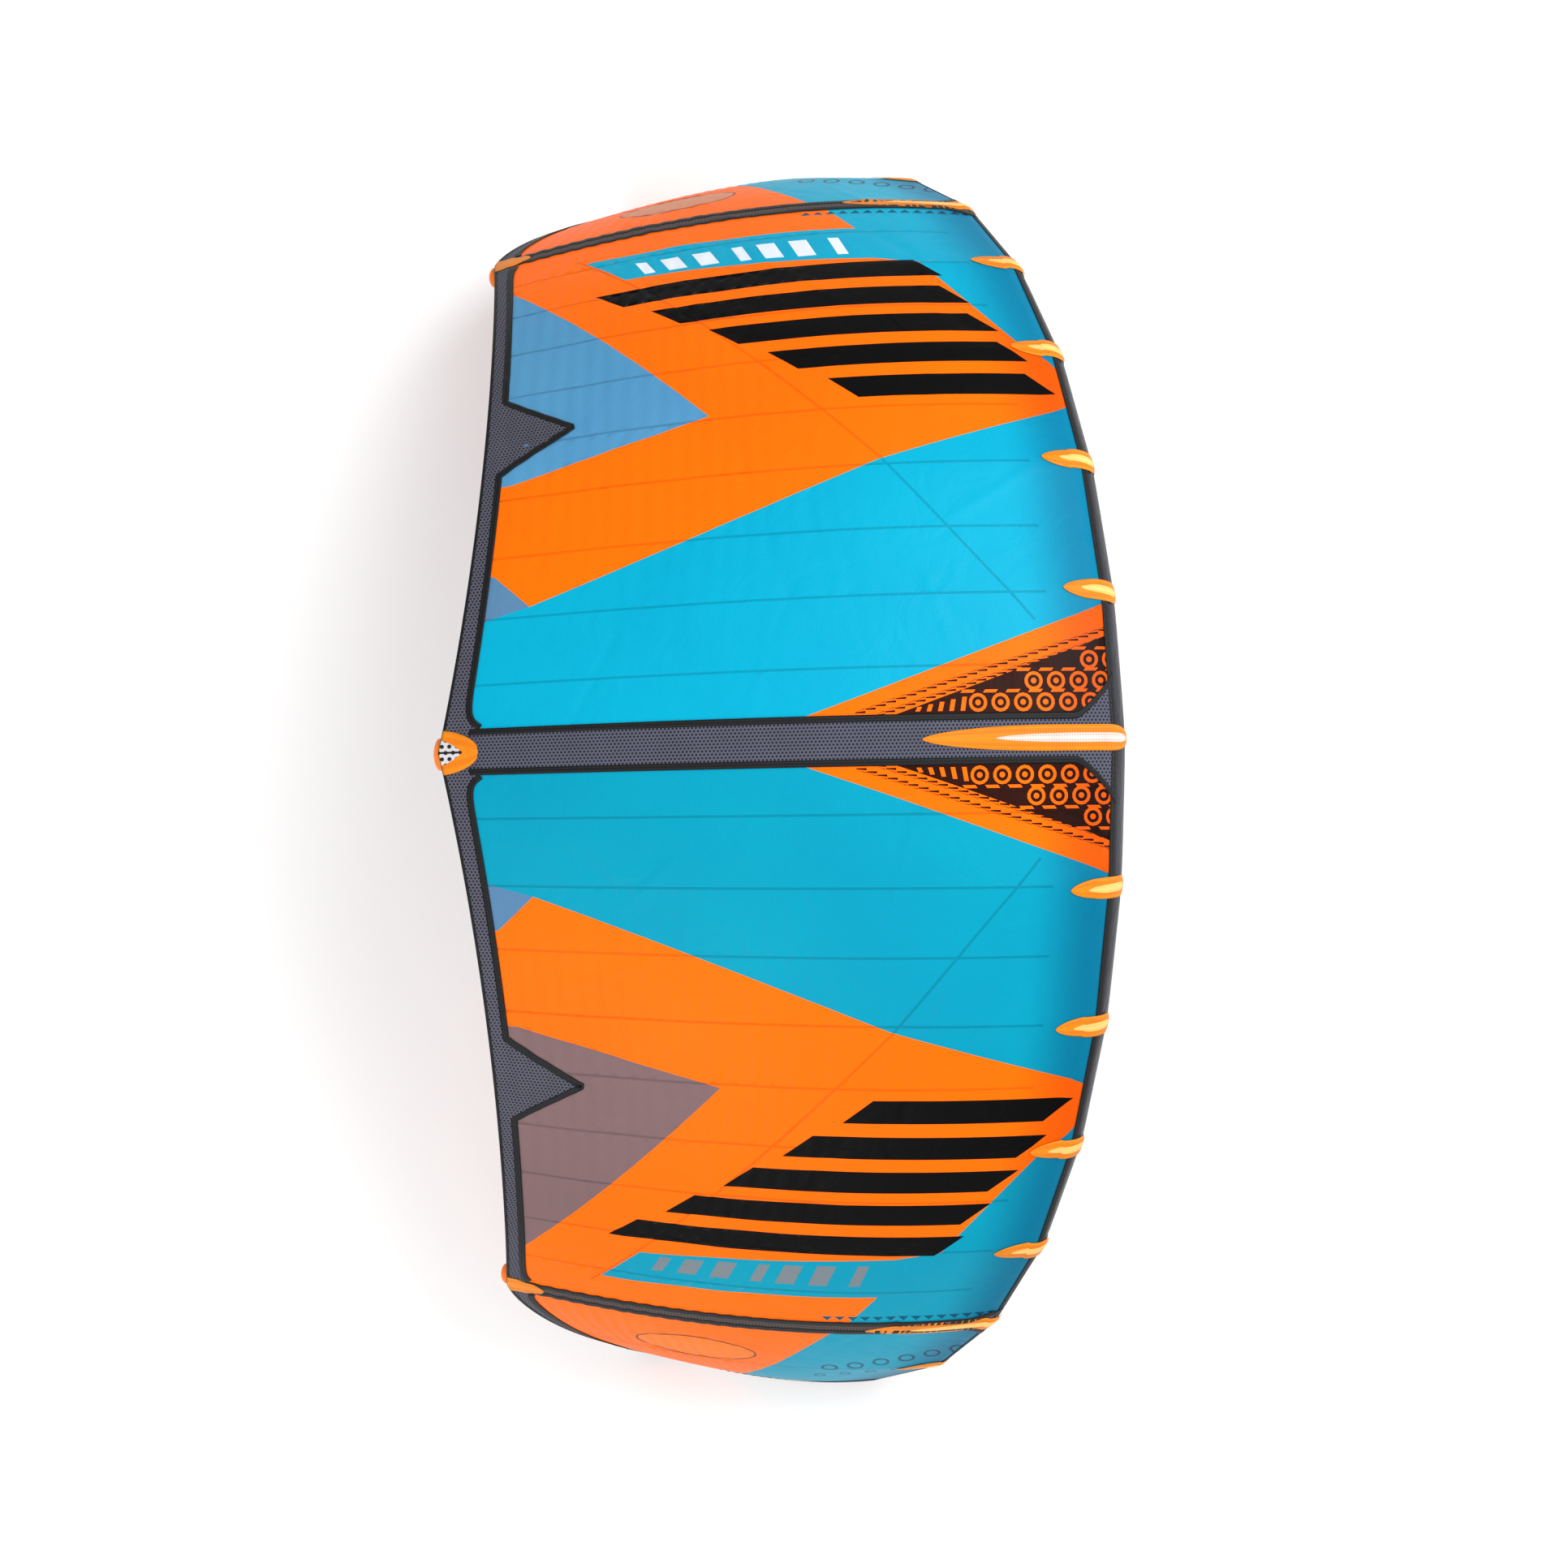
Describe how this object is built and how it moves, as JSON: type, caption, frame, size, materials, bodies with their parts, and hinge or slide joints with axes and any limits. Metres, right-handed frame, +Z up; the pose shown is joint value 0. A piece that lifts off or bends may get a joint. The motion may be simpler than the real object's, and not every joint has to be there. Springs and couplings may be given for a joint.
{
  "type": "kitesurf kite",
  "caption": "Arched inflatable kite: a tapering tube along the leading edge, three struts aft of it and a cambered cloth canopy between wing tips it stands on.",
  "frame": {"origin": "centre of the box at the level of the wing tips that the kite stands on", "axes": "+X along the span, +Y from the leading edge to the trailing edge, +Z up"},
  "size_m": [3.666, 1.8654, 1.3201],
  "materials": {
    "tube_cloth": "dark woven polyester, matt",
    "strut_cloth": "dark woven polyester, matt",
    "bladder_film": "translucent film",
    "canopy_cloth": "coated ripstop in teal, orange and dark blue",
    "hem_mesh": "coated mesh tape with a black edge",
    "band_mesh": "honeycomb mesh over dark cloth with a black edge",
    "patch_orange": "bonded orange patch",
    "webbing": "stiff flat webbing",
    "hose_rubber": "soft reinforced hose",
    "plastic_black": "moulded, satin",
    "plastic_orange": "moulded, satin"
  },
  "bodies": {
    "kite": {"le_sleeve_left_1": "tube_cloth", "le_sleeve_left_2": "tube_cloth", "le_sleeve_left_3": "tube_cloth", "le_sleeve_left_4": "tube_cloth", "le_sleeve_left_5": "tube_cloth", "le_sleeve_left_6": "tube_cloth", "le_sleeve_left_7": "tube_cloth", "le_tip_cap_left": "tube_cloth", "le_sleeve_right_1": "tube_cloth", "le_sleeve_right_2": "tube_cloth", "le_sleeve_right_3": "tube_cloth", "le_sleeve_right_4": "tube_cloth", "le_sleeve_right_5": "tube_cloth", "le_sleeve_right_6": "tube_cloth", "le_sleeve_right_7": "tube_cloth", "le_tip_cap_right": "tube_cloth", "le_bladder": "bladder_film", "canopy_panel_left_1": "canopy_cloth", "canopy_panel_left_2": "canopy_cloth", "canopy_panel_left_3": "canopy_cloth", "canopy_panel_left_4": "canopy_cloth", "canopy_panel_left_5": "canopy_cloth", "canopy_tip_left": "canopy_cloth", "canopy_panel_right_1": "canopy_cloth", "canopy_panel_right_2": "canopy_cloth", "canopy_panel_right_3": "canopy_cloth", "canopy_panel_right_4": "canopy_cloth", "canopy_panel_right_5": "canopy_cloth", "canopy_tip_right": "canopy_cloth", "trailing_edge_tape_left": "hem_mesh", "trailing_edge_tape_right": "hem_mesh", "centre_strut_band": "band_mesh", "side_strut_bands": "band_mesh", "joint_patches": "patch_orange", "strut_end_patches": "patch_orange", "hem_wedge_patches": "band_mesh", "strut_sleeve_left": "strut_cloth", "strut_bladder_left": "bladder_film", "strut_sleeve_centre": "strut_cloth", "strut_bladder_centre": "bladder_film", "strut_sleeve_right": "strut_cloth", "strut_bladder_right": "bladder_film", "strut_end_caps": "strut_cloth", "valve_bases": "plastic_black", "transfer_hoses": "hose_rubber", "hose_fittings": "plastic_black", "hose_clip_frames": "plastic_black", "bridle_eyes": "webbing", "tip_line_eyes": "webbing", "pump_leash_eye": "webbing"},
    "valve_body": {"inflate_valve_body": "plastic_black"},
    "valve_lid": {"inflate_valve_lid": "plastic_orange"},
    "dump_plug": {"dump_valve_plug": "plastic_orange"},
    "clip_lever_left": {"hose_clip_lever_left": "plastic_orange"},
    "clip_lever_centre": {"hose_clip_lever_centre": "plastic_orange"},
    "clip_lever_right": {"hose_clip_lever_right": "plastic_orange"}
  },
  "joints": [
    {"name": "valve_twist", "type": "hinge", "parent": "kite", "child": "valve_body", "pos_m": [0.18307, -0.75672, 1.07536], "axis": [-0.0665, 0.7913, -0.6078], "range_deg": [0, 90]},
    {"name": "valve_lid_swing", "type": "hinge", "parent": "valve_body", "child": "valve_lid", "pos_m": [0.20532, -0.7359, 1.05841], "axis": [-0.0319, -0.6105, -0.7914], "range_deg": [-140, 0]},
    {"name": "dump_plug_pull", "type": "slide", "parent": "kite", "child": "dump_plug", "axis": [0.8708, 0.4021, -0.2829], "range_m": [0, 0.03]},
    {"name": "clip_lever_left", "type": "hinge", "parent": "kite", "child": "clip_lever_left", "pos_m": [-1.44923, -0.38536, 0.51422], "axis": [0.6096, 0.353, 0.7097], "range_deg": [0, 60]},
    {"name": "clip_lever_centre", "type": "hinge", "parent": "kite", "child": "clip_lever_centre", "pos_m": [0.03003, -0.66189, 1.05088], "axis": [0.9628, 0.2689, 0.0251], "range_deg": [0, 60]},
    {"name": "clip_lever_right", "type": "hinge", "parent": "kite", "child": "clip_lever_right", "pos_m": [1.44923, -0.38536, 0.51422], "axis": [0.6096, -0.353, -0.7097], "range_deg": [0, 60]}
  ]
}
